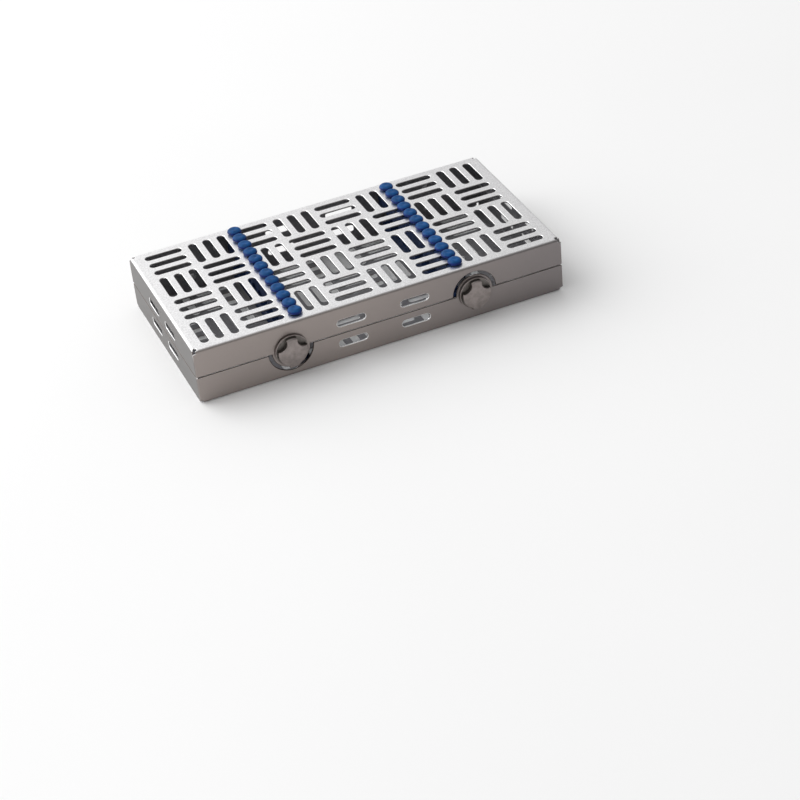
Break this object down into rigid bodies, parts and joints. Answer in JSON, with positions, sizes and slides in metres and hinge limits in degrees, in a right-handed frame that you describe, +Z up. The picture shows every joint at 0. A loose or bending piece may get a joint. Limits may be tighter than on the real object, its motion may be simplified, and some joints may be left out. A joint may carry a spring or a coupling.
{
  "type": "dental instrument cassette",
  "caption": "Pierced stainless steel cassette for dental hand instruments, with a hinged lid, turning latch knobs and silicone holding strips.",
  "frame": {"origin": "middle of the base's flat underside", "axes": "+Z up through the lid, +X to the right along the latch wall, +Y back to the hinges"},
  "size_m": [0.205, 0.113, 0.0345],
  "materials": {
    "tray_steel": "electropolished sheet with a fine satin grain",
    "cast_steel": "satin investment casting with soft edges",
    "bright_steel": "bright drawn or stamped steel",
    "silicone": "smooth royal blue silicone with a soft sheen"
  },
  "bodies": {
    "base": {"base_tray": "tray_steel", "rail_channel_left": "bright_steel", "rail_channel_right": "bright_steel", "base_rail_left": "silicone", "base_rail_right": "silicone", "hinge_base_leaf_left": "bright_steel", "hinge_base_leaf_right": "bright_steel", "hinge_pin_left": "bright_steel", "hinge_pin_right": "bright_steel", "base_rivet_left_outer": "bright_steel", "base_rivet_left_inner": "bright_steel", "base_rivet_right_outer": "bright_steel", "base_rivet_right_inner": "bright_steel", "latch_keeper_left": "bright_steel"},
    "lid": {"lid_tray": "tray_steel", "lid_strip_left": "silicone", "lid_strip_right": "silicone", "hinge_lid_leaf_left": "bright_steel", "hinge_lid_leaf_right": "bright_steel", "lid_rivet_left_outer": "bright_steel", "lid_rivet_left_inner": "bright_steel", "lid_rivet_right_outer": "bright_steel", "lid_rivet_right_inner": "bright_steel", "latch_keeper_right": "bright_steel"},
    "left_latch": {"latch_knob_left": "cast_steel", "latch_spindle_left": "bright_steel", "latch_washer_left": "bright_steel", "latch_cam_left": "bright_steel"},
    "right_latch": {"latch_knob_right": "cast_steel", "latch_spindle_right": "bright_steel", "latch_washer_right": "bright_steel", "latch_cam_right": "bright_steel"}
  },
  "joints": [
    {"name": "lid_hinge", "type": "hinge", "parent": "base", "child": "lid", "pos_m": [0, 0.0545, 0.0159], "axis": [-1, 0, 0], "range_deg": [0, 165]},
    {"name": "left_latch_turn", "type": "hinge", "parent": "lid", "child": "left_latch", "pos_m": [-0.0515, -0.052, 0.0159], "axis": [0, 1, 0], "range_deg": [0, 90]},
    {"name": "right_latch_turn", "type": "hinge", "parent": "base", "child": "right_latch", "pos_m": [0.0515, -0.052, 0.0159], "axis": [0, 1, 0], "range_deg": [0, 90]}
  ]
}
